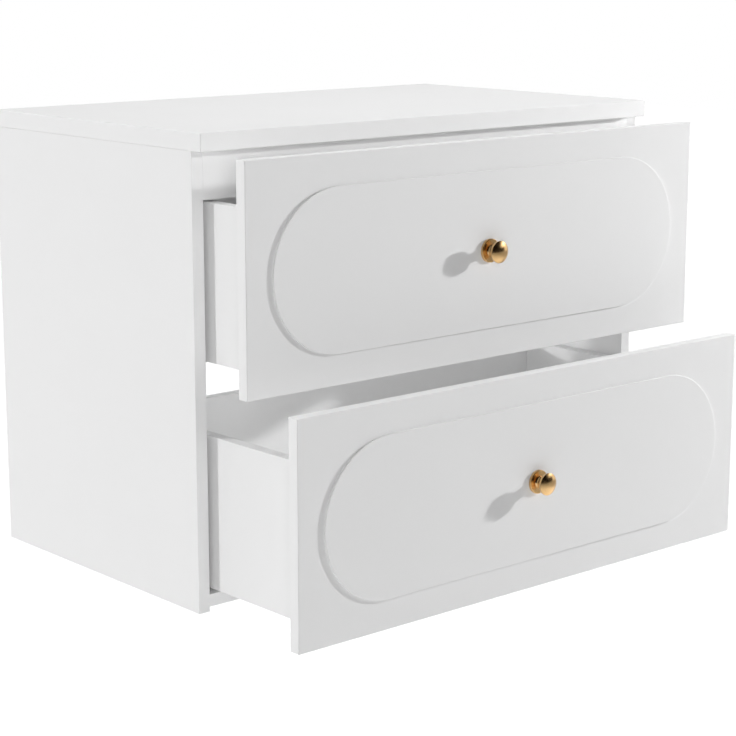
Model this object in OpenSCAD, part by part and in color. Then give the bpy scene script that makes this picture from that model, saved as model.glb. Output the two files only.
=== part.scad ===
// Wall-hung vanity with two drawers on concealed full-extension runners.
// X runs along the width, -Y is the front, +Z is up. The origin is on the wall
// face, in the middle of the four wall-screw holes.

/* [Cabinet] */
// Overall width
cabinet_w = 762; // [700:1:900]
// Overall height, with the top slab
cabinet_h = 580; // [560:1:620]
// Depth of the side panels
side_depth = 432; // [425:1:500]
// Thickness of the side panels, bottom panel and rails
board = 16; // [15:0.5:18]
// Thickness of the top slab
slab_t = 22; // [18:1:30]
// How far the slab reaches in front of the side panels
slab_overhang = 18; // [18:0.5:24]
// Height of the front top rail
front_rail_h = 58; // [50:1:60]
// Height of the upper back rail
hanging_rail_h = 100; // [80:1:120]
// Height of the lower back rail
lower_rail_h = 90; // [60:1:100]
// How far the bottom panel sits above the lower ends of the sides
bottom_lift = 6; // [4:0.5:8]

/* [Wall fixing] */
// Distance between the wall screws along the wall, one stud spacing
wall_hole_pitch = 406.4; // [300:0.1:500]
// Distance between the two rows of wall screws
wall_row_pitch = 440; // [420:1:450]
// Diameter of a wall-screw hole
wall_hole_d = 7; // [5:0.5:9]

/* [Drawer fronts] */
// Thickness of a drawer front
front_t = 16; // [15:0.5:19]
// Height of a drawer front
front_h = 275.5; // [270:0.5:276]
// Gap between the two fronts
front_gap = 4; // [3:0.5:5]
// Gap behind a closed front
closed_gap = 2; // [1:0.5:2]
// Plain border around the raised panel
panel_border = 38; // [30:1:45]
// How far the raised panel stands out
panel_relief = 2.5; // [2:0.5:5]
// Edge rounding of the raised panel
panel_edge_r = 0.8; // [0.5:0.1:1.5]

/* [Drawer boxes] */
// Gap between a box and the side panel
box_side_gap = 5; // [4.5:0.5:6]
// Height of a box
box_h = 190; // [150:1:190]
// Length of a box behind its front
box_len = 356; // [356:1:380]
// Thickness of the box walls
wall_t = 15; // [14:0.5:16]
// Thickness of the box bottom
floor_t = 9; // [6:0.5:10]
// Height of the lower edge of a box above the lower edge of its front
box_lift = 28; // [27:0.5:30]
// How far the upper drawer stands open
upper_open = 82; // [0:1:340]
// How far the lower drawer stands open
lower_open = 172; // [0:1:340]

/* [Knob] */
// Diameter of the backplate
plate_d = 30; // [28:1:36]
// Thickness of the backplate
plate_t = 3.5; // [2:0.5:4]
// Diameter of the knob head
head_d = 28; // [24:1:34]
// Height of the knob above its backplate
knob_h = 19.5; // [18:0.5:24]

/* [Runners] */
// Length of every runner member
runner_len = 340; // [330:1:340]
// Sheet thickness of the runner members
sheet = 1.2; // [1:0.1:1.3]

/* [Hidden] */
$fn = 64;

half_w = cabinet_w / 2;
base_z = -cabinet_h / 2;
slab_z = cabinet_h / 2 - slab_t;
face_y = -side_depth;
inner_w = cabinet_w - 2 * board;

// Wall holes: two rows, centred on the origin.
wall_rows = [-wall_row_pitch / 2, wall_row_pitch / 2];

// Drawer levels and positions. Each drawer has its own frame: x is centred,
// y = 0 is the back of the front, z = 0 is the lower edge of the front.
lower_z = base_z;
upper_z = base_z + front_h + front_gap;
upper_y = face_y - closed_gap - upper_open;
lower_y = face_y - closed_gap - lower_open;
box_w = inner_w - 2 * box_side_gap;
floor_recess = 13;
groove = 7;
floor_play = 0.5;

// Every screw has a 4 mm shank, and clears the pieces it passes through.
screw_r = 2;
screw_play = 0.1;

// Slab brackets: steel angles in the four upper corners of the carcass.
bracket_leg = 25;
bracket_w = 18;
bracket_t = 2;
bracket_hole = 10;
bracket_grip = 12;
bracket_places = [[-1, face_y + 60], [-1, -70], [1, face_y + 60], [1, -70]];

// Knob and front screws.
knob_z = front_h / 2;
knob_grip = 10;
front_screw_x = 250;
front_screw_z = [75, 175];
front_grip = 12;

// Runner cross-section, in the frame of the left runner: x = 0 is the inner
// face of the side panel, z = 0 is the lower edge of the drawer box.
runner_behind_front = wall_t + 2;
runner_y = face_y - closed_gap + runner_behind_front;
track_x = 36;
track_half = 14;
track_base = -3;
runner_top = 3.4;
rail_low = 6.6;
wing_h = 12;
lip = 4.2;
middle_half = 12.2;
middle_web = 9.2;
middle_low = -1.1;
middle_top = 11.1;
runner_screw_y = [30, 170, 310];
runner_screw_z = 4;
runner_grip = 12;

// A rectangle centred on the origin with round corners.
module soft_rect(w, h, r) {
    square([w - 2 * r, h], center = true);
    square([w, h - 2 * r], center = true);
    for (sx = [-1, 1], sz = [-1, 1])
        translate([sx * (w / 2 - r), sz * (h / 2 - r)]) circle(r);
}

// A board centred on the origin with every edge eased.
module eased_board(size, r) {
    intersection() {
        linear_extrude(size[2], center = true) soft_rect(size[0], size[1], r);
        rotate([90, 0, 0]) linear_extrude(size[1], center = true) soft_rect(size[0], size[2], r);
        rotate([90, 0, 90]) linear_extrude(size[0], center = true) soft_rect(size[1], size[2], r);
    }
}

// A round hole or screw along Y, from y0 towards +Y.
module rod_y(r, len, y0 = 0) {
    translate([0, y0, 0]) rotate([-90, 0, 0]) cylinder(r = r, h = len);
}

// Carcass

module top_slab() {
    color("white") difference() {
        translate([0, (face_y - slab_overhang) / 2, slab_z + slab_t / 2])
            eased_board([cabinet_w, side_depth + slab_overhang, slab_t], 1);
        for (p = bracket_places) at_bracket(p)
            translate([bracket_leg - bracket_hole, 0, -1]) cylinder(r = screw_r, h = 1 + bracket_grip);
    }
}

module side_panel(side) {
    color("white") difference() {
        translate([side > 0 ? half_w - board : -half_w, face_y, base_z])
            cube([board, side_depth, cabinet_h - slab_t]);
        for (z = [lower_z, upper_z]) at_runner_screws(side, z)
            translate([0, 0, -1]) cylinder(r = screw_r, h = 1 + runner_grip);
        for (p = bracket_places) if (p[0] == side) at_bracket(p)
            translate([1, 0, bracket_hole - bracket_leg]) rotate([0, -90, 0])
                cylinder(r = screw_r, h = 1 + bracket_grip);
    }
}

module left_side_panel() side_panel(-1);
module right_side_panel() side_panel(1);

module bottom_panel() {
    color("white") translate([-inner_w / 2, face_y, base_z + bottom_lift])
        cube([inner_w, side_depth, board]);
}

module front_top_rail() {
    color("white") translate([-inner_w / 2, face_y, slab_z - front_rail_h])
        cube([inner_w, board, front_rail_h]);
}

// A back rail with its two wall-screw holes.
module back_rail(z0, h, hole_z) {
    color("white") difference() {
        translate([-inner_w / 2, -board, z0]) cube([inner_w, board, h]);
        for (s = [-1, 1]) translate([s * wall_hole_pitch / 2, 0, hole_z])
            rod_y(wall_hole_d / 2, board + 2, -board - 1);
    }
}

module upper_back_rail() back_rail(slab_z - hanging_rail_h, hanging_rail_h, wall_rows[1]);
module lower_back_rail() back_rail(base_z + bottom_lift + board, lower_rail_h, wall_rows[0]);

// One steel angle, in the corner under the slab. x = 0 is the side panel's face.
module bracket() {
    difference() {
        union() {
            translate([0, -bracket_w / 2, -bracket_t]) cube([bracket_leg, bracket_w, bracket_t]);
            translate([0, -bracket_w / 2, -bracket_leg]) cube([bracket_t, bracket_w, bracket_leg]);
        }
        translate([bracket_leg - bracket_hole, 0, -bracket_t - 1])
            cylinder(r = screw_r + screw_play, h = bracket_t + 2);
        translate([-1, 0, bracket_hole - bracket_leg]) rotate([0, 90, 0])
            cylinder(r = screw_r + screw_play, h = bracket_t + 2);
    }
}

module at_bracket(p) {
    translate([p[0] * (half_w - board), p[1], slab_z]) rotate([0, 0, p[0] > 0 ? 180 : 0])
        children();
}

module slab_brackets() {
    color("silver") for (p = bracket_places) at_bracket(p) bracket();
}

// A screw along +Z, its round head under z = 0.
module screw(len, head_r = 3.8, head_t = 1.6) {
    cylinder(r = screw_r, h = len);
    translate([0, 0, -head_t]) cylinder(r = head_r, h = head_t);
}

module bracket_screws() {
    color("silver") for (p = bracket_places) at_bracket(p) {
        translate([bracket_leg - bracket_hole, 0, -bracket_t]) screw(bracket_grip + bracket_t - 1);
        translate([bracket_t, 0, bracket_hole - bracket_leg]) rotate([0, -90, 0])
            screw(bracket_grip + bracket_t - 1);
    }
}

// Concealed runners. Three members nest one over the other on each side: the
// runner on the cabinet, the middle member, and the rail under the drawer.

// Puts a left-hand piece on the left (-1) or mirrors it to the right (1).
// x = 0 is the side panel's inner face, z = 0 the lower edge of the drawer box.
module at_side(side, y, drawer_z) {
    if (side > 0)
        mirror([1, 0, 0]) translate([-inner_w / 2, y, drawer_z + box_lift]) children();
    else
        translate([-inner_w / 2, y, drawer_z + box_lift]) children();
}

// The places of one runner's screws, with +Z into the side panel.
module at_runner_screws(side, drawer_z) {
    at_side(side, runner_y, drawer_z) for (y = runner_screw_y)
        translate([0, y, runner_screw_z]) rotate([0, -90, 0]) children();
}

// A section drawn in X and Z, swept along Y for the runner's length.
module sweep_y() {
    translate([0, runner_len, 0]) rotate([90, 0, 0]) linear_extrude(runner_len) children();
}

// Half of a lipped channel, its web at w0 and its lip at w1, mirrored on the track.
module lipped_channel(w0, w1) {
    low = min(w0, w1);
    for (s = [-1, 1]) translate([track_x, 0]) {
        translate([s > 0 ? track_half - sheet : -track_half, low]) square([sheet, abs(w1 - w0)]);
        translate([s > 0 ? track_half - lip : -track_half, w1 > w0 ? w1 - sheet : w1])
            square([lip, sheet]);
    }
    translate([track_x - track_half, w1 > w0 ? w0 : w0 - sheet]) square([2 * track_half, sheet]);
}

module runner(side, drawer_z) {
    color("silver") difference() {
        at_side(side, runner_y, drawer_z) sweep_y() {
            lipped_channel(track_base, runner_top);
            translate([0, track_base]) square([track_x, sheet]);
            translate([0, track_base]) square([sheet, wing_h]);
        }
        at_runner_screws(side, drawer_z) translate([0, 0, -sheet - 1])
            cylinder(r = screw_r + screw_play, h = sheet + 2);
    }
}

module upper_left_runner() runner(-1, upper_z);
module upper_right_runner() runner(1, upper_z);
module lower_left_runner() runner(-1, lower_z);
module lower_right_runner() runner(1, lower_z);

module runner_screws() {
    color("silver") for (side = [-1, 1], z = [lower_z, upper_z]) at_runner_screws(side, z)
        translate([0, 0, -sheet]) screw(runner_grip + sheet - 1);
}

// The middle member travels half as far as its drawer.
module middle(side, drawer_z, open) {
    color("lightgray") at_side(side, runner_y - open / 2, drawer_z) sweep_y()
        translate([track_x, 0]) {
            for (z = [middle_low, middle_top - sheet])
                translate([-middle_half, z]) square([2 * middle_half, sheet]);
            for (x = [-middle_web, middle_web - sheet])
                translate([x, middle_low]) square([sheet, middle_top - middle_low]);
        }
}

module upper_left_middle() middle(-1, upper_z, upper_open);
module upper_right_middle() middle(1, upper_z, upper_open);
module lower_left_middle() middle(-1, lower_z, lower_open);
module lower_right_middle() middle(1, lower_z, lower_open);

// The rail that carries the drawer, flat against the underside of its floor.
module rail(side, y, z) {
    color("silver") at_side(side, y + runner_behind_front, z) sweep_y()
        lipped_channel(floor_recess, rail_low);
}

// Drawer pieces. Each takes the drawer's y and z and stands in the drawer's frame.

module front(y, z) {
    color("white") translate([0, y, z]) difference() {
        translate([0, -front_t / 2, front_h / 2]) eased_board([cabinet_w, front_t, front_h], 1);
        translate([0, 0, knob_z]) rod_y(screw_r + screw_play, front_t + 2, -front_t - 1);
        for (sx = [-1, 1], sz = front_screw_z) translate([sx * front_screw_x, 0, sz])
            rod_y(screw_r, front_grip + 1, -front_grip);
    }
}

// Half of the raised panel's section: flat, with a rounded outer edge.
module panel_section(reach) {
    square([reach, panel_relief - panel_edge_r]);
    square([reach - panel_edge_r, panel_relief]);
    translate([reach - panel_edge_r, panel_relief - panel_edge_r]) circle(panel_edge_r);
}

// A flat panel with half-round ends, its face towards -Y.
module raised_panel(y, z) {
    end_r = front_h / 2 - panel_border;
    run = cabinet_w - 2 * panel_border - 2 * end_r;
    color("white") translate([0, y - front_t, z + front_h / 2]) difference() {
        rotate([90, 0, 0]) {
            for (sx = [-1, 1]) translate([sx * run / 2, 0, 0])
                rotate_extrude($fn = 128) intersection() {
                    panel_section(end_r);
                    square([end_r + 1, panel_relief + 1]);
                }
            for (a = [0, 180]) rotate([0, 0, a]) translate([-run / 2, 0, 0])
                rotate([90, 0, 90]) linear_extrude(run) panel_section(end_r);
        }
        rod_y(screw_r + screw_play, panel_relief + 2, -panel_relief - 1);
    }
}

// Turns a profile (radius, height) into a piece that points to -Y on the raised panel.
module turned(y, z, h0) {
    translate([0, y - front_t - panel_relief - h0, z + knob_z]) rotate([90, 0, 0])
        rotate_extrude() children();
}

module backplate(y, z) {
    edge = 0.8;
    color("goldenrod") turned(y, z, 0) difference() {
        union() {
            square([plate_d / 2, plate_t - edge]);
            square([plate_d / 2 - edge, plate_t]);
            translate([plate_d / 2 - edge, plate_t - edge]) circle(edge);
        }
        square([screw_r + screw_play, plate_t]);
    }
}

// Knob: a spool-shaped neck under a thick head, which widens a little towards its
// shallow dome. The two edges of the head are rounded, and the dome runs smoothly
// into the front one.
module knob(y, z) {
    head_r = head_d / 2;
    edge = 0.8;
    taper = 0.8;
    wall = 4;
    dome_h = 4.5;
    rim_h = knob_h - dome_h;
    rim_r = head_r - edge;
    back_r = rim_r - taper;
    back_h = rim_h - wall + edge;
    lean = atan(taper / (rim_h - back_h));
    out = edge * [cos(lean), -sin(lean)];
    dome_r = (dome_h * dome_h + rim_r * rim_r - edge * edge) / (2 * (dome_h - edge));
    meet_r = rim_r * dome_r / (dome_r - edge);
    foot_r = 7.5;
    waist = 6;
    scoop = 8;
    waist_h = sqrt(scoop * scoop - pow(waist + scoop - foot_r, 2));
    color("goldenrod") turned(y, z, plate_t) difference() {
        union() {
            intersection() {
                translate([0, knob_h - dome_r]) circle(dome_r, $fn = 160);
                translate([0, rim_h]) square([meet_r, dome_h]);
            }
            polygon([[0, rim_h - wall], [back_r, rim_h - wall], [back_r, back_h] + out,
                [rim_r, rim_h] + out, [rim_r, rim_h], [0, rim_h]]);
            translate([rim_r, rim_h]) circle(edge);
            translate([back_r, back_h]) circle(edge);
            difference() {
                square([back_r, rim_h - wall / 2]);
                translate([waist + scoop, waist_h]) circle(scoop);
            }
        }
        square([screw_r + screw_play / 2, knob_grip]);
        translate([-head_r, 0]) square([head_r, knob_h]);
    }
}

module knob_screw(y, z) {
    color("silver") translate([0, y + wall_t, z + knob_z]) rotate([90, 0, 0])
        screw(wall_t + front_t + panel_relief + plate_t + knob_grip - 1, 4, 2.4);
}

module front_screws(y, z) {
    color("silver") for (sx = [-1, 1], sz = front_screw_z)
        translate([sx * front_screw_x, y + wall_t, z + sz]) rotate([90, 0, 0])
            screw(wall_t + front_grip - 1);
}

module box_wall(side, y, z) {
    color("white") difference() {
        translate([side > 0 ? box_w / 2 - wall_t : -box_w / 2, y, z + box_lift])
            cube([wall_t, box_len, box_h]);
        translate([side > 0 ? box_w / 2 - wall_t - 1 : -box_w / 2 + wall_t - groove,
            y + wall_t - groove, z + box_lift + floor_recess])
            cube([groove + 1, box_len, floor_t]);
    }
}

module inner_front(y, z) {
    half = box_w / 2 - wall_t;
    color("white") translate([0, y, z]) difference() {
        translate([-half, 0, box_lift]) cube([2 * half, wall_t, box_h]);
        translate([-half - 1, wall_t - groove, box_lift + floor_recess])
            cube([2 * half + 2, groove + 1, floor_t]);
        translate([0, 0, knob_z]) rod_y(screw_r + screw_play, wall_t + 2, -1);
        for (sx = [-1, 1], sz = front_screw_z) translate([sx * front_screw_x, 0, sz])
            rod_y(screw_r + screw_play, wall_t + 2, -1);
    }
}

module back_wall(y, z) {
    half = box_w / 2 - wall_t;
    foot = box_lift + floor_recess + floor_t;
    color("white") translate([-half, y + box_len - wall_t, z + foot])
        cube([2 * half, wall_t, box_h - floor_recess - floor_t]);
}

module drawer_floor(y, z) {
    half = box_w / 2 - wall_t + groove - floor_play;
    front_edge = wall_t - groove + floor_play;
    color("white") translate([-half, y + front_edge, z + box_lift + floor_recess])
        cube([2 * half, box_len - front_edge, floor_t]);
}

// Front clips that lock the drawer to its rails: a block with a finger lever.
module clips(y, z) {
    color("gray") for (side = [-1, 1]) at_side(side, y + runner_behind_front, z)
        translate([track_x + track_half, 0, 0]) {
            translate([0, 0, 3]) cube([16, 42, floor_recess - 3]);
            difference() {
                translate([16, 0, 6]) cube([14, 20, 4]);
                translate([30, 20, 5]) cylinder(r = 8, h = 6);
            }
        }
}

module upper_front() front(upper_y, upper_z);
module upper_raised_panel() raised_panel(upper_y, upper_z);
module upper_backplate() backplate(upper_y, upper_z);
module upper_knob() knob(upper_y, upper_z);
module upper_knob_screw() knob_screw(upper_y, upper_z);
module upper_left_wall() box_wall(-1, upper_y, upper_z);
module upper_right_wall() box_wall(1, upper_y, upper_z);
module upper_inner_front() inner_front(upper_y, upper_z);
module upper_back_wall() back_wall(upper_y, upper_z);
module upper_floor() drawer_floor(upper_y, upper_z);
module upper_front_screws() front_screws(upper_y, upper_z);
module upper_left_rail() rail(-1, upper_y, upper_z);
module upper_right_rail() rail(1, upper_y, upper_z);
module upper_clips() clips(upper_y, upper_z);

module lower_front() front(lower_y, lower_z);
module lower_raised_panel() raised_panel(lower_y, lower_z);
module lower_backplate() backplate(lower_y, lower_z);
module lower_knob() knob(lower_y, lower_z);
module lower_knob_screw() knob_screw(lower_y, lower_z);
module lower_left_wall() box_wall(-1, lower_y, lower_z);
module lower_right_wall() box_wall(1, lower_y, lower_z);
module lower_inner_front() inner_front(lower_y, lower_z);
module lower_back_wall() back_wall(lower_y, lower_z);
module lower_floor() drawer_floor(lower_y, lower_z);
module lower_front_screws() front_screws(lower_y, lower_z);
module lower_left_rail() rail(-1, lower_y, lower_z);
module lower_right_rail() rail(1, lower_y, lower_z);
module lower_clips() clips(lower_y, lower_z);

top_slab();
left_side_panel();
right_side_panel();
bottom_panel();
front_top_rail();
upper_back_rail();
lower_back_rail();
slab_brackets();
bracket_screws();
upper_left_runner();
upper_right_runner();
lower_left_runner();
lower_right_runner();
runner_screws();
upper_left_middle();
upper_right_middle();
lower_left_middle();
lower_right_middle();
upper_front();
upper_raised_panel();
upper_backplate();
upper_knob();
upper_knob_screw();
upper_left_wall();
upper_right_wall();
upper_inner_front();
upper_back_wall();
upper_floor();
upper_front_screws();
upper_left_rail();
upper_right_rail();
upper_clips();
lower_front();
lower_raised_panel();
lower_backplate();
lower_knob();
lower_knob_screw();
lower_left_wall();
lower_right_wall();
lower_inner_front();
lower_back_wall();
lower_floor();
lower_front_screws();
lower_left_rail();
lower_right_rail();
lower_clips();
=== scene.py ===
# %% [markdown]
# # A wall-hung vanity with two drawers
# The real object is a white lacquered cabinet that hangs on a wall. Both drawers
# stand open on concealed runners, the lower one further than the upper one. Each
# front carries a flat raised panel with half-round ends and a small brass knob.
# The exact solids come from the CAD model, which stays as the fixed frame. Blender
# adds the finishes, the light and the pieces whose curves deserve a finer mesh.

# %% Load the frame
import math

import bmesh
import bpy
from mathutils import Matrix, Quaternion, Vector


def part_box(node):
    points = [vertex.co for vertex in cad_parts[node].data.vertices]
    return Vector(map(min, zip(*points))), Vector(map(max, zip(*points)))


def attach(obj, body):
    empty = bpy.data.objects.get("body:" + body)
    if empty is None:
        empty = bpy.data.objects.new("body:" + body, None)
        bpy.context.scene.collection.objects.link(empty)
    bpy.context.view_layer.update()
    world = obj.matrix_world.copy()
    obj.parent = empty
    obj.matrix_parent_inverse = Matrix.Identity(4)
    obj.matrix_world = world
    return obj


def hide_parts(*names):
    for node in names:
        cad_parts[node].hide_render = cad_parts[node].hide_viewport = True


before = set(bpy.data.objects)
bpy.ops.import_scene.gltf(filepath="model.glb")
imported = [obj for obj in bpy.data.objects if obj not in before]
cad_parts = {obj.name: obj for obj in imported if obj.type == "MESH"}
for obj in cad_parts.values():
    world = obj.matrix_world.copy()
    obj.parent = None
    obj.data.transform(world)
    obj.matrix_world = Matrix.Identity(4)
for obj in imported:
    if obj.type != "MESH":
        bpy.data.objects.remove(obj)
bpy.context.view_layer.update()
MM = 0.001
HAIR = 0.01 * MM  # points closer together than this count as one
SHARP_ANGLE = math.radians(40)  # edges that bend more than this get rounded
SMOOTH_ANGLE = math.radians(35)  # edges that bend less than this are shaded smooth
DRAWERS = ("upper", "lower")

# %% [markdown]
# ## The camera
# The photograph looks at the left front corner from a little above the slab, with a
# long lens. A long lens could be faked by scaling the picture, but then the edges
# would meet in the wrong places. The camera therefore stands where the cabinet's own
# corners put it. It looks down by twelve degrees, so the upright edges lean together
# towards the floor, a little more than they do in the photograph.

# %% Camera
SENSOR = 36.0
FOCAL_PX = 2014.6
FRAME_PX = 736.0
YAW = math.radians(41.03)
LOOK_DOWN = math.radians(11.845)

bpy.ops.object.camera_add(location=(-1.7476, -2.3121, 0.4993),
                          rotation=(math.pi / 2 - LOOK_DOWN, 0.0, -YAW))
camera = bpy.context.object
camera.name = "photo_camera"
camera.data.sensor_width = SENSOR
camera.data.lens = FOCAL_PX * SENSOR / FRAME_PX
camera.data.clip_start, camera.data.clip_end = 0.05, 60.0
bpy.context.scene.camera = camera
print("lens", round(camera.data.lens, 1), "mm")

# %% [markdown]
# ## Two small helpers for materials
# Paint and metal colours are read off as sRGB hex values, the way a designer notes
# them, but shaders calculate in linear light. One function converts them. A second
# one adds a node, sets it and wires it in a single line, which keeps each material
# below short enough to read from top to bottom.

# %% Colour and node helpers
def linear(code):
    """An sRGB hex colour as the linear colour that a shader wants."""
    channels = [int(code[i:i + 2], 16) / 255 for i in (1, 3, 5)]
    return tuple(c / 12.92 if c <= 0.04045 else ((c + 0.055) / 1.055) ** 2.4
                 for c in channels) + (1.0,)


def add(tree, kind, inputs=None, **settings):
    """Adds a node. Inputs are values, or output sockets to link from."""
    node = tree.nodes.new(kind)
    for name, value in settings.items():
        setattr(node, name, value)
    for name, value in (inputs or {}).items():
        if isinstance(value, bpy.types.NodeSocket):
            tree.links.new(value, node.inputs[name])
        else:
            node.inputs[name].default_value = value
    return node


def new_material(name):
    """An empty material with its node tree, ready for add()."""
    material = bpy.data.materials.new(name)
    material.use_nodes = True
    material.node_tree.nodes.clear()
    return material, material.node_tree


def per_metre(millimetres):
    """The noise scale whose features are this many millimetres apart."""
    return 1000.0 / millimetres


# %% [markdown]
# ## White satin lacquer
# The slab, the sides, the rails and the fronts are MDF boards, sprayed with a white
# two-part lacquer and left satin. A perfectly even white would look like paper, so
# three things are added that a sprayer knows: the faint orange peel of a lacquer that
# set before it was quite level, a gloss that changes slightly over a hand's width,
# and a white that drifts by one or two steps of grey. Orange peel is about 2 mm
# wide and a few microns deep.

# %% White satin lacquer
def white_lacquer():
    material, tree = new_material("white_satin_lacquer")
    place = add(tree, "ShaderNodeTexCoord").outputs["Object"]
    peel = add(tree, "ShaderNodeTexNoise",
               {"Vector": place, "Scale": per_metre(2.2), "Detail": 2.0, "Roughness": 0.4})
    drift = add(tree, "ShaderNodeTexNoise",
                {"Vector": place, "Scale": per_metre(140), "Detail": 3.0, "Roughness": 0.5})
    gloss = add(tree, "ShaderNodeMapRange",
                {"Value": drift.outputs["Fac"], "From Min": 0.3, "From Max": 0.7,
                 "To Min": 0.52, "To Max": 0.58})
    tint = add(tree, "ShaderNodeMix",
               {"Factor": drift.outputs["Fac"], "A": linear("#F7F7F7"), "B": linear("#F5F5F5")},
               data_type="RGBA")
    bump = add(tree, "ShaderNodeBump",
               {"Height": peel.outputs["Fac"], "Strength": 0.25, "Distance": 0.02 * MM})
    lacquer = add(tree, "ShaderNodeBsdfPrincipled",
                  {"Base Color": tint.outputs["Result"], "Roughness": gloss.outputs["Result"],
                   "IOR": 1.45, "Specular IOR Level": 0.3, "Normal": bump.outputs["Normal"]})
    add(tree, "ShaderNodeOutputMaterial", {"Surface": lacquer.outputs["BSDF"]})
    return material


lacquer = white_lacquer()
print("made", lacquer.name)

# %% [markdown]
# ## White foil on the drawer boxes
# Drawer boxes are cut from boards with a white melamine foil. It is pressed against an
# etched steel plate, so it is more matt than lacquer and carries a fine pearl texture,
# with grains of about 0.8 mm.

# %% White melamine foil
def white_foil():
    material, tree = new_material("white_melamine_foil")
    place = add(tree, "ShaderNodeTexCoord").outputs["Object"]
    pearl = add(tree, "ShaderNodeTexVoronoi",
                {"Vector": place, "Scale": per_metre(0.8)}, feature="SMOOTH_F1")
    cloud = add(tree, "ShaderNodeTexNoise",
                {"Vector": place, "Scale": per_metre(90), "Detail": 2.0})
    tint = add(tree, "ShaderNodeMix",
               {"Factor": cloud.outputs["Fac"], "A": linear("#F6F6F6"), "B": linear("#F4F4F4")},
               data_type="RGBA")
    bump = add(tree, "ShaderNodeBump",
               {"Height": pearl.outputs["Distance"], "Strength": 0.2, "Distance": 0.03 * MM})
    foil = add(tree, "ShaderNodeBsdfPrincipled",
               {"Base Color": tint.outputs["Result"], "Roughness": 0.6, "IOR": 1.45,
                "Specular IOR Level": 0.3, "Normal": bump.outputs["Normal"]})
    add(tree, "ShaderNodeOutputMaterial", {"Surface": foil.outputs["BSDF"]})
    return material


foil = white_foil()
print("made", foil.name)

# %% [markdown]
# ## Satin brass
# The knobs are turned from brass bar, polished to a satin and clear coated. Three
# things tell the eye so. The metal mirrors the room softly, polishing by hand leaves
# the gloss slightly uneven over a few millimetres, and the lathe leaves fine rings
# round the axis. Real rings are finer than anyone sees, so they are drawn 0.5 mm apart,
# which shows in a close view. The two knobs sit one above the other, so their heights
# are wrapped onto one axis before the distance from that axis is taken.

# %% Satin brass
RING_GAP = 0.5


def satin_brass(axis_z, spacing):
    """Brass with rings round an axis at axis_z, and again every spacing above and below."""
    material, tree = new_material("satin_brass")
    place = add(tree, "ShaderNodeTexCoord").outputs["Object"]
    smear = add(tree, "ShaderNodeTexNoise",
                {"Vector": place, "Scale": per_metre(9), "Detail": 2.0, "Roughness": 0.4})
    gloss = add(tree, "ShaderNodeMapRange",
                {"Value": smear.outputs["Fac"], "From Min": 0.3, "From Max": 0.7,
                 "To Min": 0.21, "To Max": 0.25})
    tint = add(tree, "ShaderNodeMix",
               {"Factor": smear.outputs["Fac"], "A": linear("#E6BF88"), "B": linear("#E1B981")},
               data_type="RGBA")
    parts = add(tree, "ShaderNodeSeparateXYZ", {"Vector": place}).outputs
    height = add(tree, "ShaderNodeMath", {0: parts["Z"], 1: axis_z}, operation="SUBTRACT")
    height = add(tree, "ShaderNodeMath", {0: height.outputs["Value"], 1: -spacing / 2,
                                          2: spacing / 2}, operation="WRAP")
    across = add(tree, "ShaderNodeCombineXYZ", {"X": parts["X"], "Z": height.outputs["Value"]})
    radius = add(tree, "ShaderNodeVectorMath", {0: across.outputs["Vector"]}, operation="LENGTH")
    along = add(tree, "ShaderNodeMath", {0: radius.outputs["Value"], 1: parts["Y"]})
    turns = add(tree, "ShaderNodeMath", {0: along.outputs["Value"],
                                         1: 2 * math.pi * per_metre(RING_GAP)},
                operation="MULTIPLY")
    rings = add(tree, "ShaderNodeMath", {0: turns.outputs["Value"]}, operation="SINE")
    bump = add(tree, "ShaderNodeBump",
               {"Height": rings.outputs["Value"], "Strength": 0.5, "Distance": 0.002 * MM})
    metal = add(tree, "ShaderNodeBsdfPrincipled",
                {"Base Color": tint.outputs["Result"], "Metallic": 1.0,
                 "Roughness": gloss.outputs["Result"], "Normal": bump.outputs["Normal"]})
    add(tree, "ShaderNodeOutputMaterial", {"Surface": metal.outputs["BSDF"]})
    return material


KNOB_HEIGHTS = [sum(corner.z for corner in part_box(f"{drawer}_knob")) / 2 for drawer in DRAWERS]
brass = satin_brass(KNOB_HEIGHTS[0], KNOB_HEIGHTS[0] - KNOB_HEIGHTS[1])
print("made", brass.name, "for knobs at", [round(z, 4) for z in KNOB_HEIGHTS])

# %% [markdown]
# ## Zinc-plated steel
# Runners, brackets and screws are rolled steel with a bright zinc plating. Rolling
# leaves faint lines along the sheet, about 0.6 mm apart, and the plating breaks the
# reflections up into soft clouds.

# %% Zinc-plated steel
def zinc_steel():
    material, tree = new_material("zinc_plated_steel")
    place = add(tree, "ShaderNodeTexCoord").outputs["Object"]
    along = add(tree, "ShaderNodeMapping", {"Vector": place, "Scale": (1.0, 0.04, 1.0)})
    lines = add(tree, "ShaderNodeTexNoise",
                {"Vector": along.outputs["Vector"], "Scale": per_metre(0.6), "Detail": 3.0})
    cloud = add(tree, "ShaderNodeTexNoise",
                {"Vector": place, "Scale": per_metre(9), "Detail": 3.0})
    gloss = add(tree, "ShaderNodeMapRange",
                {"Value": cloud.outputs["Fac"], "From Min": 0.3, "From Max": 0.7,
                 "To Min": 0.28, "To Max": 0.4})
    tint = add(tree, "ShaderNodeMix",
               {"Factor": cloud.outputs["Fac"], "A": linear("#C9CCCE"), "B": linear("#B7BBBE")},
               data_type="RGBA")
    bump = add(tree, "ShaderNodeBump",
               {"Height": lines.outputs["Fac"], "Strength": 0.15, "Distance": 0.05 * MM})
    metal = add(tree, "ShaderNodeBsdfPrincipled",
                {"Base Color": tint.outputs["Result"], "Metallic": 1.0,
                 "Roughness": gloss.outputs["Result"], "Normal": bump.outputs["Normal"]})
    add(tree, "ShaderNodeOutputMaterial", {"Surface": metal.outputs["BSDF"]})
    return material


zinc = zinc_steel()
print("made", zinc.name)

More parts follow.
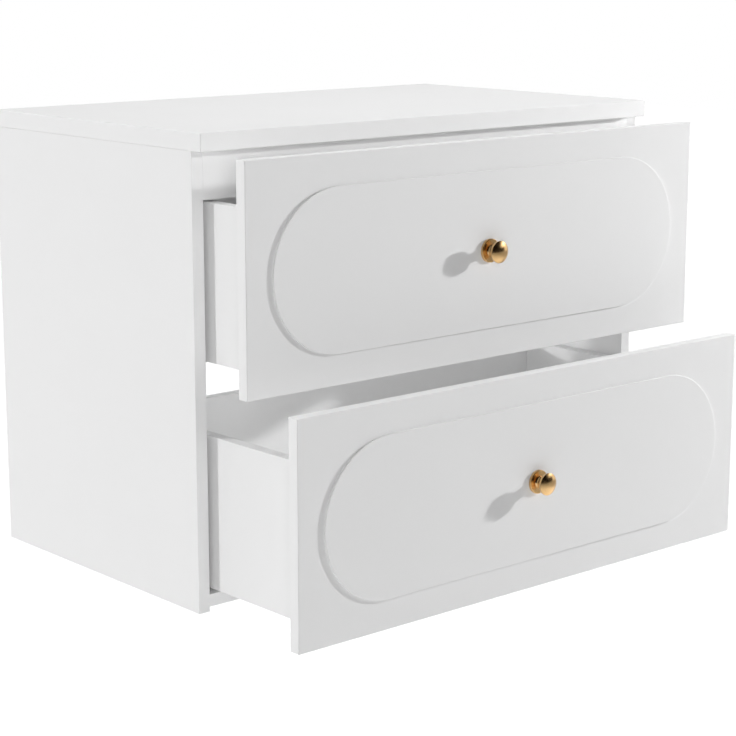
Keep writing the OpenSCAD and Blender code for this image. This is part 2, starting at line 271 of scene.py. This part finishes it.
# %% [markdown]
# ## Grey moulded plastic
# The clips that lock a drawer to its runners are moulded in grey ABS. The mould is
# spark-eroded, which gives the plastic a matt skin with grains of about 0.4 mm.

# %% Grey moulded ABS
def grey_plastic():
    material, tree = new_material("grey_moulded_abs")
    place = add(tree, "ShaderNodeTexCoord").outputs["Object"]
    grain = add(tree, "ShaderNodeTexNoise",
                {"Vector": place, "Scale": per_metre(0.4), "Detail": 2.0})
    bump = add(tree, "ShaderNodeBump",
               {"Height": grain.outputs["Fac"], "Strength": 0.3, "Distance": 0.03 * MM})
    tint = add(tree, "ShaderNodeMix",
               {"Factor": grain.outputs["Fac"], "A": linear("#85888B"), "B": linear("#7C7F82")},
               data_type="RGBA")
    plastic = add(tree, "ShaderNodeBsdfPrincipled",
                  {"Base Color": tint.outputs["Result"], "Roughness": 0.55, "IOR": 1.53,
                   "Normal": bump.outputs["Normal"]})
    add(tree, "ShaderNodeOutputMaterial", {"Surface": plastic.outputs["BSDF"]})
    return material


plastic = grey_plastic()
print("made", plastic.name)

# %% [markdown]
# ## Dress the CAD boards
# A real board never has a razor edge: lacquer pulls back from it and the sander breaks
# it. Half a millimetre is enough to catch a thin line of light, and that line is what
# makes a white cabinet readable on a white ground. A Weld modifier joins the loose
# triangles of the CAD mesh first, so that Bevel finds the edges between them. Thin
# triangles between two screw holes would still crease the light, so a Decimate modifier
# melts what lies in one plane into a single face.

# %% Boards: finish and soft edges
LACQUERED = ["top_slab", "left_side_panel", "right_side_panel", "bottom_panel",
             "front_top_rail", "upper_back_rail", "lower_back_rail",
             "upper_front", "lower_front"]
BOX_BOARDS = [f"{drawer}_{board}" for drawer in DRAWERS
              for board in ("left_wall", "right_wall", "inner_front", "back_wall", "floor")]
ALREADY_EASED = {"top_slab", "upper_front", "lower_front"}


def finish_node(name, material):
    """Gives every material slot of a CAD node the same finish."""
    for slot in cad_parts[name].material_slots:
        slot.material = material


def soften_edges(name, width, segments=2):
    """Live modifiers on a CAD node; its mesh stays as packed."""
    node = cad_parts[name]
    node.modifiers.new("weld", "WELD").merge_threshold = HAIR
    plane = node.modifiers.new("one_plane", "DECIMATE")
    plane.decimate_type, plane.angle_limit = "DISSOLVE", math.radians(1)
    bevel = node.modifiers.new("soft_edge", "BEVEL")
    bevel.width, bevel.segments = width, segments
    bevel.limit_method, bevel.angle_limit = "ANGLE", SHARP_ANGLE
    bevel.use_clamp_overlap = True


for name in LACQUERED:
    finish_node(name, lacquer)
for name in BOX_BOARDS:
    finish_node(name, foil)
for name in LACQUERED + BOX_BOARDS:
    if name not in ALREADY_EASED:
        soften_edges(name, 0.5 * MM)
print("boards dressed:", len(LACQUERED) + len(BOX_BOARDS))

# %% [markdown]
# ## Dress the metal and plastic CAD pieces
# The sheet metal is only 1.2 mm thick, so its cut edges get a much smaller radius.

# %% Runners, brackets and clips
SHEET_METAL = ["slab_brackets"] + [
    f"{drawer}_{side}_{member}" for drawer in DRAWERS for side in ("left", "right")
    for member in ("runner", "middle", "rail")]

for name in SHEET_METAL + ["bracket_screws", "runner_screws"]:
    finish_node(name, zinc)
for name in SHEET_METAL:
    soften_edges(name, 0.15 * MM, 1)
for drawer in DRAWERS:
    finish_node(f"{drawer}_clips", plastic)
    finish_node(f"{drawer}_knob_screw", zinc)
    finish_node(f"{drawer}_front_screws", zinc)
    finish_node(f"{drawer}_knob", brass)
    finish_node(f"{drawer}_backplate", brass)
    finish_node(f"{drawer}_raised_panel", lacquer)
print("sheet metal dressed:", len(SHEET_METAL))

# %% [markdown]
# ## Helpers for modelling by hand
# The new pieces are made the way a modeller makes them at the screen: add a primitive,
# go into edit mode, pick something, push it. Without a screen the picking is done by
# place, so one helper selects what a small test says yes to.

# %% Modelling helpers
KINDS = {"verts": "VERT", "edges": "EDGE", "faces": "FACE"}


def start_clean():
    """Back to object mode with nothing selected."""
    if bpy.context.object and bpy.context.object.mode != "OBJECT":
        bpy.ops.object.mode_set(mode="OBJECT")
    bpy.ops.object.select_all(action="DESELECT")


def pick(kind, wanted):
    """Edit mode: selects the vertices, edges or faces whose corners all pass the test."""
    bpy.ops.mesh.select_mode(type=KINDS[kind])
    bpy.ops.mesh.select_all(action="DESELECT")
    mesh = bmesh.from_edit_mesh(bpy.context.object.data)
    for item in getattr(mesh, kind):
        corners = [item.co] if kind == "verts" else [v.co for v in item.verts]
        if all(wanted(c) for c in corners):
            item.select_set(True)
    mesh.select_flush_mode()
    bmesh.update_edit_mesh(bpy.context.object.data)


def apply_place(piece):
    """Puts a piece's place into its mesh, so that its object sits at the origin."""
    bpy.ops.object.transform_apply(location=True, rotation=True, scale=True)
    return piece


def apply_modifier(piece, kind, **settings):
    """Adds a modifier with its settings and applies it at once."""
    modifier = piece.modifiers.new(kind.lower(), kind)
    for name, value in settings.items():
        setattr(modifier, name, value)
    bpy.context.view_layer.objects.active = piece
    bpy.ops.object.modifier_apply(modifier=modifier.name)


def finish_piece(piece, name, material, slot, body, *nodes):
    """Names, paints and hangs a new piece on its body in place of its CAD nodes."""
    start_clean()
    piece.name = piece.data.name = name
    piece.data.materials.clear()
    piece.data.materials.append(material)
    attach(piece, body)
    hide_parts(*nodes)
    print(name, "faces", len(piece.data.polygons))


# %% [markdown]
# ## The raised panel
# A panel 2.5 mm thick with half-round ends is glued on each front. It could be a rectangle
# with enormous corner bevels. Two halves of one circle, pulled apart, give a truer
# half-round end and a clean straight run between. The rim is rounded so that it takes
# the light on the lit side and goes dark on the other.

# %% Raised panel with half-round ends
ROUND_STEPS = 192
RIM_RADIUS = 0.8 * MM


def raised_panel(drawer):
    low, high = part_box(f"{drawer}_raised_panel")
    middle = (low + high) / 2
    end_radius = (high.z - low.z) / 2
    half_run = (high.x - low.x) / 2 - end_radius
    start_clean()
    bpy.ops.mesh.primitive_circle_add(
        vertices=ROUND_STEPS, radius=end_radius, fill_type="NGON",
        location=(middle.x, high.y, middle.z),
        rotation=(math.pi / 2, math.pi / ROUND_STEPS, 0.0))
    panel = apply_place(bpy.context.object)
    bpy.ops.object.mode_set(mode="EDIT")
    for side in (-1, 1):
        pick("verts", lambda c: (c.x - middle.x) * side > 0)
        bpy.ops.transform.translate(value=(side * half_run, 0.0, 0.0))
    bpy.ops.mesh.select_all(action="SELECT")
    bpy.ops.mesh.extrude_region_move(TRANSFORM_OT_translate={"value": (0.0, low.y - high.y, 0.0)})
    bpy.ops.mesh.select_all(action="SELECT")
    bpy.ops.mesh.normals_make_consistent(inside=False)
    pick("edges", lambda c: abs(c.y - low.y) < HAIR)
    bpy.ops.mesh.bevel(offset=RIM_RADIUS, offset_type="OFFSET", segments=5, affect="EDGES")
    bpy.ops.object.mode_set(mode="OBJECT")
    bpy.ops.object.shade_smooth_by_angle(angle=SMOOTH_ANGLE)
    apply_modifier(panel, "WEIGHTED_NORMAL", keep_sharp=True)
    finish_piece(panel, f"{drawer}_oval_panel", lacquer, "white_paint",
                 f"{drawer}_drawer", f"{drawer}_raised_panel")


for drawer in DRAWERS:
    raised_panel(drawer)

# %% [markdown]
# ## Turned brass
# Backplate and knob come off a lathe. A profile could be spun round its axis; here a
# ring of points is extruded and scaled from one height to the next, which follows the
# same drawing and closes cleanly at the tip. Each station is a radius and a height
# above the face that the piece stands on.

# %% Turned pieces
TURN_STEPS = 96


def arc(centre_r, centre_h, radius, start, end, steps):
    """Stations on a circular arc, angles in degrees: 0 points outwards, 90 up the axis."""
    return [(centre_r + radius * math.cos(math.radians(a)),
             centre_h + radius * math.sin(math.radians(a)))
            for a in (start + (end - start) * i / steps for i in range(steps + 1))]


def turn(stations, foot, steps=TURN_STEPS):
    """A closed turned piece. It stands on the point foot and rises towards -Y."""
    start_clean()
    radius, height = stations[0]
    bpy.ops.mesh.primitive_circle_add(
        vertices=steps, radius=radius, fill_type="NGON",
        location=foot + Vector((0.0, -height, 0.0)), rotation=(math.pi / 2, 0.0, 0.0))
    piece = apply_place(bpy.context.object)
    bpy.ops.object.mode_set(mode="EDIT")
    bpy.ops.mesh.select_mode(type="EDGE")
    bpy.ops.mesh.select_all(action="SELECT")
    for next_radius, next_height in stations[1:]:
        bpy.ops.mesh.extrude_edges_move(
            TRANSFORM_OT_translate={"value": (0.0, height - next_height, 0.0)})
        share = max(next_radius, HAIR) / radius
        bpy.ops.transform.resize(value=(share, share, share),
                                 center_override=foot + Vector((0.0, -next_height, 0.0)))
        radius, height = max(next_radius, HAIR), next_height
    bpy.ops.mesh.merge(type="CENTER")
    bpy.ops.mesh.select_all(action="SELECT")
    bpy.ops.mesh.normals_make_consistent(inside=False)
    bpy.ops.object.mode_set(mode="OBJECT")
    bpy.ops.object.shade_smooth_by_angle(angle=SMOOTH_ANGLE)
    return piece


# %% Backplates
FLAT_FROM_RIM = 1.4 * MM


def backplate(drawer):
    low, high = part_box(f"{drawer}_backplate")
    radius, thickness, ease = (high.x - low.x) / 2, high.y - low.y, 0.8 * MM
    foot = Vector(((low.x + high.x) / 2, high.y, (low.z + high.z) / 2))
    stations = [(radius, 0.0)]
    stations += arc(radius - ease, thickness - ease, ease, 0, 90, 8)
    stations += [(radius - FLAT_FROM_RIM, thickness), (0.0, thickness)]
    finish_piece(turn(stations, foot), f"{drawer}_turned_backplate", brass, "brass",
                 f"{drawer}_drawer", f"{drawer}_backplate")


for drawer in DRAWERS:
    backplate(drawer)

# %% [markdown]
# The knob is one turning too: a neck like a spool, and a thick head that widens a
# little towards its dome. Real turned edges are never sharp, so both edges of the
# head get a radius of 0.8 mm, and the dome runs into the front one without a step,
# because there a step would break the highlight.

# %% Knobs
def knob(drawer):
    low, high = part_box(f"{drawer}_knob")
    head, tall = (high.x - low.x) / 2, high.y - low.y
    foot = Vector(((low.x + high.x) / 2, high.y, (low.z + high.z) / 2))
    edge, taper, wall, dome = 0.8 * MM, 0.8 * MM, 4.0 * MM, 4.5 * MM
    foot_radius, waist, scoop = 7.5 * MM, 6.0 * MM, 8.0 * MM
    rim_height, rim_radius = tall - dome, head - edge
    back_radius, back_height = rim_radius - taper, rim_height - wall + edge
    lean = math.degrees(math.atan2(taper, rim_height - back_height))
    dome_radius = (dome ** 2 + rim_radius ** 2 - edge ** 2) / (2 * (dome - edge))
    meet = math.degrees(math.acos(rim_radius / (dome_radius - edge)))
    centre = waist + scoop
    centre_height = math.sqrt(scoop ** 2 - (centre - foot_radius) ** 2)
    low_turn = 180 + math.degrees(math.asin(centre_height / scoop))
    high_turn = 180 - math.degrees(math.asin((rim_height - wall - centre_height) / scoop))
    stations = arc(centre, centre_height, scoop, low_turn, high_turn, 24)
    stations += arc(back_radius, back_height, edge, -90, -lean, 6)
    stations += arc(rim_radius, rim_height, edge, -lean, meet, 6)
    stations += arc(0.0, tall - dome_radius, dome_radius, meet, 90, 24)[1:]
    finish_piece(turn(stations, foot), f"{drawer}_turned_knob", brass, "brass",
                 f"{drawer}_drawer", f"{drawer}_knob")


for drawer in DRAWERS:
    knob(drawer)

# %% [markdown]
# ## Screws
# Every screw here is a pan-head screw with a cross recess: a low rounded head, and a
# shank that ends in a point. The shank hides in the board, so its thread is drawn as
# plain rings 1.4 mm apart. The recess is what the eye looks for, and it is cut with two
# tapered blades, as the punch does it in the factory. One screw of each length is
# modelled at the origin, with its head towards +Y, and copies go to their holes.

# %% One screw
SHANK_RADIUS = 2.0 * MM


def thread(length):
    """Stations along a threaded shank, crests at the full radius, then the point."""
    pitch, root = 1.4 * MM, 1.6 * MM
    stations = [(SHANK_RADIUS, 0.0), (SHANK_RADIUS, 1.5 * MM)]
    height = 1.9 * MM
    while height + pitch < length - 3.0 * MM:
        stations += [(root, height), (root, height + 0.5 * MM),
                     (SHANK_RADIUS, height + 0.95 * MM)]
        height += pitch
    return stations + [(root, height), (0.3 * MM, length - 0.2 * MM), (0.0, length)]


def blade(head_top, turn_angle):
    """A tapered blade, the cutter for one arm of the cross recess."""
    start_clean()
    bpy.ops.mesh.primitive_cube_add(size=1.0, location=(0.0, head_top, 0.0))
    cutter = bpy.context.object
    cutter.scale = (4.2 * MM, 2.6 * MM, 0.95 * MM)
    apply_place(cutter)
    bpy.ops.object.mode_set(mode="EDIT")
    pick("verts", lambda c: c.y < head_top)
    bpy.ops.transform.resize(value=(0.45, 1.0, 0.6), center_override=(0.0, head_top, 0.0))
    bpy.ops.object.mode_set(mode="OBJECT")
    cutter.rotation_euler = (0.0, turn_angle, 0.0)
    return apply_place(cutter)


def screw(length, head, thick):
    """A pan-head screw at the origin. Its head rests on y = 0, and it points to -Y."""
    flat, brim = 0.5 * head, 0.35 * MM
    stations = [(flat, -thick)]
    stations += [(flat + (head - flat) * math.sin(a), -brim - (thick - brim) * math.cos(a))
                 for a in (math.radians(d) for d in range(15, 91, 15))]
    stations += [(head, -0.1 * MM), (head - 0.15 * MM, 0.0)]
    piece = turn(stations + thread(length), Vector((0.0, 0.0, 0.0)), 32)
    for turn_angle in (0.0, math.pi / 2):
        cutter = blade(thick, turn_angle)
        apply_modifier(piece, "BOOLEAN", object=cutter, operation="DIFFERENCE", solver="EXACT")
        bpy.data.objects.remove(cutter)
    return piece


PAN_HEAD = (3.8 * MM, 1.6 * MM)
KNOB_SCREW_HEAD = (4.0 * MM, 2.4 * MM)
SCREWS = {"bracket": screw(13 * MM, *PAN_HEAD),
          "runner": screw(12.2 * MM, *PAN_HEAD),
          "front": screw(26 * MM, *PAN_HEAD),
          "knob": screw(46 * MM, *KNOB_SCREW_HEAD)}
print("screws modelled:", {kind: len(one.data.polygons) for kind, one in SCREWS.items()})

# %% [markdown]
# Nobody stops a screwdriver at the same angle twice, so every copy is turned a little
# further than the one before. The step is the golden angle, which never repeats.

# %% Screws in their holes
GOLDEN = math.radians(137.5)


def drive(kind, places, name, body, node):
    """Copies one screw to its places. Each place is a point in mm and a direction."""
    start_clean()
    copies = []
    for count, (point, direction) in enumerate(places):
        copy = SCREWS[kind].copy()
        copy.data = SCREWS[kind].data.copy()
        bpy.context.collection.objects.link(copy)
        aim = Vector((0.0, -1.0, 0.0)).rotation_difference(Vector(direction))
        spin = Vector(direction).normalized()
        copy.rotation_mode = "QUATERNION"
        copy.rotation_quaternion = Quaternion(spin, GOLDEN * count) @ aim
        copy.location = Vector(point) * MM
        copy.select_set(True)
        copies.append(copy)
    bpy.context.view_layer.objects.active = copies[0]
    if len(copies) > 1:
        bpy.ops.object.join()
    piece = apply_place(copies[0])
    piece.rotation_mode = "XYZ"
    finish_piece(piece, name, zinc, "zinc_steel", body, node)


# Millimetres, in the cabinet's own frame.
HALF_INSIDE, SLAB_UNDER = 365.0, 268.0
BRACKET_SHEET, BRACKET_HOLE = 2, 15
BRACKETS = [(side, y) for side in (-1, 1) for y in (-372.0, -70.0)]
RUNNER_SHEET = 1.2
RUNNER_HEIGHTS = (21.5, -258.0)
RUNNER_DEPTHS = (-387.0, -247.0, -107.0)
BOX_WALL = 15
FRONTS = (("upper", -516.0, -10.5), ("lower", -606.0, -290.0))
FRONT_SCREW_X, FRONT_SCREW_Z, KNOB_Z = (-250, 250), (75, 175), 137.75

drive("bracket",
      [((side * (HALF_INSIDE - BRACKET_HOLE), y, SLAB_UNDER - BRACKET_SHEET), (0, 0, 1))
       for side, y in BRACKETS]
      + [((side * (HALF_INSIDE - BRACKET_SHEET), y, SLAB_UNDER - BRACKET_HOLE), (side, 0, 0))
         for side, y in BRACKETS],
      "pan_head_bracket_screws", "carcass", "bracket_screws")
drive("runner",
      [((side * (HALF_INSIDE - RUNNER_SHEET), y, z), (side, 0, 0))
       for side in (-1, 1) for z in RUNNER_HEIGHTS for y in RUNNER_DEPTHS],
      "pan_head_runner_screws", "carcass", "runner_screws")
for drawer, back_of_front, base in FRONTS:
    inside = back_of_front + BOX_WALL
    drive("front",
          [((x, inside, base + z), (0, -1, 0)) for x in FRONT_SCREW_X for z in FRONT_SCREW_Z],
          f"{drawer}_pan_head_front_screws", f"{drawer}_drawer", f"{drawer}_front_screws")
    drive("knob", [((0, inside, base + KNOB_Z), (0, -1, 0))],
          f"{drawer}_pan_head_knob_screw", f"{drawer}_drawer", f"{drawer}_knob_screw")
for one in SCREWS.values():
    bpy.data.objects.remove(one)

# %% [markdown]
# ## Locking clips
# Under the front of each drawer sit two clips that lock it to its rails. Each is one
# moulding: a block that is hollow underneath, so that its walls cool evenly, and a
# lever with a scoop and three ribs for the finger. The left one is modelled, and the
# right one is its mirror image. Mirroring turns a mesh inside out, so its normals are
# worked out again.

# %% Clips
def moulded(piece, radius):
    """Rounds every sharp edge the way a mould does."""
    apply_modifier(piece, "BEVEL", width=radius, segments=3, limit_method="ANGLE",
                   angle_limit=SHARP_ANGLE)
    return piece


def brick(low, size):
    """A box from its lowest corner and its size, in metres."""
    start_clean()
    bpy.ops.mesh.primitive_cube_add(size=1.0, location=Vector(low) + Vector(size) / 2)
    bpy.context.object.scale = size
    return apply_place(bpy.context.object)


# Millimetres from the left clip's lowest corner, and sizes.
BLOCK_SIZE = (16, 42, 10)
LEVER_CORNER, LEVER_SIZE = (15.5, 0, 3), (14.5, 20, 4)
SCOOP_CENTRE = (30, 20, 5)
RIB_SIZE, RIB_ROWS = (9, 1.2, 1.2), (4, 7, 10)
WEB_CORNER, WEB_SIZE = (1, 20, 1.5), (14, 1.6, 6)


def moulded_brick(low, corner, size, radius):
    """A rounded box. corner and size are in millimetres, corner is counted from low."""
    return moulded(brick(low + Vector(corner) * MM, Vector(size) * MM), radius)


def clip_block(low):
    """The block, hollowed from underneath."""
    block = brick(low, Vector(BLOCK_SIZE) * MM)
    bpy.ops.object.mode_set(mode="EDIT")
    pick("faces", lambda c: c.z < low.z + HAIR)
    bpy.ops.mesh.inset(thickness=1.8 * MM)
    bpy.ops.mesh.extrude_region_move(TRANSFORM_OT_translate={"value": (0.0, 0.0, 6.0 * MM)})
    bpy.ops.object.mode_set(mode="OBJECT")
    return moulded(block, 0.5 * MM)


def clip_lever(low):
    """The lever, with a round scoop cut out for the finger."""
    lever = brick(low + Vector(LEVER_CORNER) * MM, Vector(LEVER_SIZE) * MM)
    start_clean()
    bpy.ops.mesh.primitive_cylinder_add(vertices=64, radius=8 * MM, depth=12 * MM,
                                        location=low + Vector(SCOOP_CENTRE) * MM)
    scoop = bpy.context.object
    apply_modifier(lever, "BOOLEAN", object=scoop, operation="DIFFERENCE", solver="EXACT")
    bpy.data.objects.remove(scoop)
    return moulded(lever, 0.6 * MM)


def clip(drawer):
    """Both clips of a drawer, as one piece."""
    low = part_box(f"{drawer}_clips")[0]
    parts = [clip_block(low), clip_lever(low)]
    parts += [moulded_brick(low, (18, y, 2.4), RIB_SIZE, 0.3 * MM) for y in RIB_ROWS]
    parts.append(moulded_brick(low, WEB_CORNER, WEB_SIZE, 0.2 * MM))
    start_clean()
    for part in parts:
        part.select_set(True)
    bpy.context.view_layer.objects.active = parts[0]
    bpy.ops.object.join()
    bpy.ops.object.duplicate()
    bpy.context.object.scale.x = -1.0
    right = apply_place(bpy.context.object)
    bpy.ops.object.mode_set(mode="EDIT")
    bpy.ops.mesh.select_all(action="SELECT")
    bpy.ops.mesh.normals_make_consistent(inside=False)
    bpy.ops.object.mode_set(mode="OBJECT")
    parts[0].select_set(True)
    right.select_set(True)
    bpy.context.view_layer.objects.active = parts[0]
    bpy.ops.object.join()
    bpy.ops.object.shade_smooth_by_angle(angle=SMOOTH_ANGLE)
    finish_piece(parts[0], f"{drawer}_moulded_clips", plastic, "clip_plastic",
                 f"{drawer}_drawer", f"{drawer}_clips")


for drawer in DRAWERS:
    clip(drawer)

# %% [markdown]
# ## The studio
# A white object on white needs shading rather than brightness, so the directions
# matter more than the amounts. The world is white where the camera or a reflection
# looks at it. Where it lights the boards, it works like a large soft screen behind
# the cabinet: full behind, and fading to nothing towards the front. The floor is a
# long way below, as under a cabinet on a wall, and so the shadow on it is very soft.
# It glows for the camera and a little for reflections, so that both see it white.

# %% World and floor
SCREEN = 1.31
FLOOR_GLOW = (0.82, 0.15)
FLOOR_HEIGHT, FLOOR_SIZE = -1.2, 30.0


def looked_at(tree, by_camera, in_mirrors):
    """One value for camera rays, one for mirror and glass rays, 0 for the others."""
    path = add(tree, "ShaderNodeLightPath")
    mirror = add(tree, "ShaderNodeMath", {0: path.outputs["Is Glossy Ray"],
                                          1: path.outputs["Is Transmission Ray"]},
                 operation="MAXIMUM")
    mirror = add(tree, "ShaderNodeMath", {0: mirror.outputs["Value"], 1: in_mirrors},
                 operation="MULTIPLY")
    return add(tree, "ShaderNodeMath", {0: path.outputs["Is Camera Ray"], 1: by_camera,
                                        2: mirror.outputs["Value"]},
               operation="MULTIPLY_ADD").outputs["Value"]


def studio_world():
    world = bpy.context.scene.world or bpy.data.worlds.new("studio")
    bpy.context.scene.world = world
    world.use_nodes = True
    tree = world.node_tree
    tree.nodes.clear()
    where = add(tree, "ShaderNodeTexCoord").outputs["Generated"]
    behind = add(tree, "ShaderNodeVectorMath", {0: where, 1: (0.0, 1.0, 0.0)},
                 operation="DOT_PRODUCT")
    above_zero = add(tree, "ShaderNodeMath", {0: behind.outputs["Value"], 1: 0.0},
                     operation="MAXIMUM")
    strength = add(tree, "ShaderNodeMath", {0: above_zero.outputs["Value"], 1: SCREEN},
                   operation="MULTIPLY")
    light = add(tree, "ShaderNodeBackground", {"Color": (1, 1, 1, 1),
                                               "Strength": strength.outputs["Value"]})
    white = add(tree, "ShaderNodeBackground", {"Color": (1, 1, 1, 1), "Strength": 1.0})
    both = add(tree, "ShaderNodeMixShader", {0: looked_at(tree, 1.0, 1.0),
                                             1: light.outputs["Background"],
                                             2: white.outputs["Background"]})
    add(tree, "ShaderNodeOutputWorld", {"Surface": both.outputs["Shader"]})


def pale_floor():
    start_clean()
    bpy.ops.mesh.primitive_plane_add(size=FLOOR_SIZE, location=(0.0, 0.0, FLOOR_HEIGHT))
    floor = apply_place(bpy.context.object)
    floor.name = "floor"
    material, tree = new_material("pale_floor")
    matt = add(tree, "ShaderNodeBsdfDiffuse", {"Color": linear("#F4F4F4")})
    glow = add(tree, "ShaderNodeEmission", {"Strength": looked_at(tree, *FLOOR_GLOW)})
    both = add(tree, "ShaderNodeAddShader", {0: matt.outputs["BSDF"],
                                             1: glow.outputs["Emission"]})
    below = add(tree, "ShaderNodeNewGeometry").outputs["Backfacing"]
    clear = add(tree, "ShaderNodeBsdfTransparent")
    top_only = add(tree, "ShaderNodeMixShader", {0: below, 1: both.outputs["Shader"],
                                                 2: clear.outputs["BSDF"]})
    add(tree, "ShaderNodeOutputMaterial", {"Surface": top_only.outputs["Shader"]})
    floor.data.materials.append(material)


studio_world()
pale_floor()
print("screen", SCREEN, "floor glow", FLOOR_GLOW)

# %% [markdown]
# ## The lamps
# The knobs' shadows point down to the left, so the main lamp stands far to the right,
# almost in line with the fronts. A lamp behind on the left lights the left side, and
# it casts the edge of the side panel on the drawer boxes. A wide, soft lamp overhead
# brightens the slab, and a weak one beside the camera opens the gaps that face it.
# White boards close together also throw light back and forth many times, and two faint
# panels of light, under the slab and under the upper drawer, stand in for the last of
# those bounces. In metal a lamp shows as a hard white dot, so mirrors do not see the
# lamps at all.

# %% Lamps
def lamp(name, place, target, size, power):
    """A disc of light: its place, where it points, its diameter in metres, its watts."""
    start_clean()
    bpy.ops.object.light_add(type="AREA", location=place)
    light = bpy.context.object
    light.name = name
    light.data.shape = "DISK"
    light.data.size = size
    light.data.energy = power
    light.rotation_euler = (Vector(target) - Vector(place)).to_track_quat("-Z", "Y").to_euler()
    light.visible_camera = light.visible_glossy = False
    return light


key = lamp("key_right", (2.38, -1.28, 0.63), (0.0, -0.5, 0.0), 0.11, 65.5)
back = lamp("back_left", (-3.0, 1.32, 0.3), (-0.38, -0.3, 0.0), 0.14, 34.5)
lamp("overhead", (-0.2, -0.3, 2.2), (0.0, -0.3, 0.0), 1.6, 20.5)
lamp("fill", (-2.0, -2.8, 0.6), (0.0, -0.4, 0.0), 1.2, 25.5)
BOUNCE_WIDTH, BOUNCE_DEPTH, BOUNCE_Y = 0.66, 0.14, -0.36
for name, height, power in (("bounce_low", 0.011, 0.14), ("bounce_top", 0.262, 0.06)):
    bounce = lamp(name, (0.0, BOUNCE_Y, height), (0.0, BOUNCE_Y, -0.5), BOUNCE_WIDTH, power)
    bounce.data.shape, bounce.data.size_y = "RECTANGLE", BOUNCE_DEPTH

# %% [markdown]
# A lamp that only grazes the fronts hits the right side squarely and would burn it out,
# and the lamp behind would do the same to the back. A photographer holds a flag, a piece
# of black card, between such a lamp and such a board. Light linking is Blender's flag: a
# collection lists the boards that a lamp leaves out. The front edge of the right side
# panel then needs a small lamp of its own, which reaches nothing else, and so do the
# front of the slab and the rail below it, which stand back from the drawer fronts.

# %% Flags
def link_light(light, names, state):
    """state is EXCLUDE to keep a lamp off these nodes, INCLUDE to light only them."""
    listed = bpy.data.collections.new(f"{light.name}_{state.lower()}")
    for name in names:
        listed.objects.link(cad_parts[name])
    light.light_linking.receiver_collection = listed
    for item in listed.collection_objects:
        item.light_linking.link_state = state


link_light(key, ["right_side_panel", "upper_right_wall", "lower_right_wall"], "EXCLUDE")
link_light(back, ["upper_back_rail", "lower_back_rail"], "EXCLUDE")
edge = lamp("right_edge", (0.92, -2.5, 0.4), (0.37, -0.45, 0.0), 0.18, 19.0)
link_light(edge, ["right_side_panel"], "INCLUDE")
brow = lamp("slab_front", (-0.5, -2.9, 0.28), (-0.1, -0.45, 0.28), 0.5, 6.0)
link_light(brow, ["top_slab", "front_top_rail"], "INCLUDE")
print("flags set")

# %% [markdown]
# ## What the brass sees
# Polished metal shows its surroundings and nothing else. In an all-white studio a brass
# knob turns into a pale disc, so photographers hang black card where the metal can see
# it. One card stands far in front, one far to the left and one overhead. The upper half
# of each knob mirrors them, and the lower half mirrors the pale floor. The highlight on
# the right is a painted highlight: a sheet near the main lamp that glows by itself,
# lights nothing and is seen only in reflections. It is brightest in the middle and fades
# outwards, so the highlight has no edge. Only reflections see all of these.

# %% Cards and painted highlight sheet
HIGHLIGHT_REACH, HIGHLIGHT_FLATTER, HIGHLIGHT_GLOW = 2.4, 3.2, 4.6
UPRIGHT = math.pi / 2


def reflected_sheet(name, place, size, rotation, surface):
    """A flat sheet that only reflections see. surface makes its shader."""
    start_clean()
    bpy.ops.mesh.primitive_plane_add(size=1.0, location=place, rotation=rotation)
    sheet = bpy.context.object
    sheet.scale = (size[0], size[1], 1.0)
    sheet = apply_place(sheet)
    sheet.name = name
    material, tree = new_material(name)
    add(tree, "ShaderNodeOutputMaterial", {"Surface": surface(tree, Vector(place))})
    sheet.data.materials.append(material)
    sheet.visible_camera = sheet.visible_diffuse = sheet.visible_shadow = False
    sheet.visible_transmission = False


def black_felt(tree, _centre):
    return add(tree, "ShaderNodeBsdfDiffuse", {"Color": linear("#120A06")}).outputs["BSDF"]


def painted_highlight_glow(tree, centre):
    """A painted highlight: a low wide glow, seen only in reflections, that fades to nothing at
    HIGHLIGHT_REACH to the sides.
    """
    place = add(tree, "ShaderNodeTexCoord").outputs["Object"]
    away = add(tree, "ShaderNodeVectorMath", {0: place, 1: centre}, operation="SUBTRACT")
    away = add(tree, "ShaderNodeVectorMath", {0: away.outputs["Vector"],
                                              1: (1.0, 1.0, HIGHLIGHT_FLATTER)}, operation="MULTIPLY")
    far = add(tree, "ShaderNodeVectorMath", {0: away.outputs["Vector"]}, operation="LENGTH")
    fade = add(tree, "ShaderNodeMapRange", {"Value": far.outputs["Value"], "From Min": 0.0,
                                            "From Max": HIGHLIGHT_REACH, "To Min": 1.0, "To Max": 0.0})
    soft = add(tree, "ShaderNodeMath", {0: fade.outputs["Result"], 1: 2.0}, operation="POWER")
    glow = add(tree, "ShaderNodeMath", {0: soft.outputs["Value"], 1: HIGHLIGHT_GLOW},
               operation="MULTIPLY")
    light = add(tree, "ShaderNodeEmission", {"Strength": glow.outputs["Value"]})
    clear = add(tree, "ShaderNodeBsdfTransparent")
    return add(tree, "ShaderNodeAddShader", {0: light.outputs["Emission"],
                                             1: clear.outputs["BSDF"]}).outputs["Shader"]


reflected_sheet("black_card_front", (-0.5, -4.35, 2.2), (15.0, 5.2), (UPRIGHT, 0.0, 0.0),
                black_felt)
reflected_sheet("black_card_left", (-5.0, -1.6, 1.8), (5.5, 6.0), (UPRIGHT, 0.0, UPRIGHT),
                black_felt)
reflected_sheet("black_card_above", (0.0, -1.0, 4.8), (16.0, 6.7), (0.0, 0.0, 0.0), black_felt)
# A glowing sheet that only reflections see: it paints the highlight in the brass and lights
# nothing.
reflected_sheet("tissue", (2.54, -1.71, 1.12), (5.8, 5.8),
                (math.radians(68), 0.0, math.radians(66)), painted_highlight_glow)
print("cards and tissue hung")

# %% Picture settings
bpy.context.scene.view_settings.view_transform = "Standard"
start_clean()
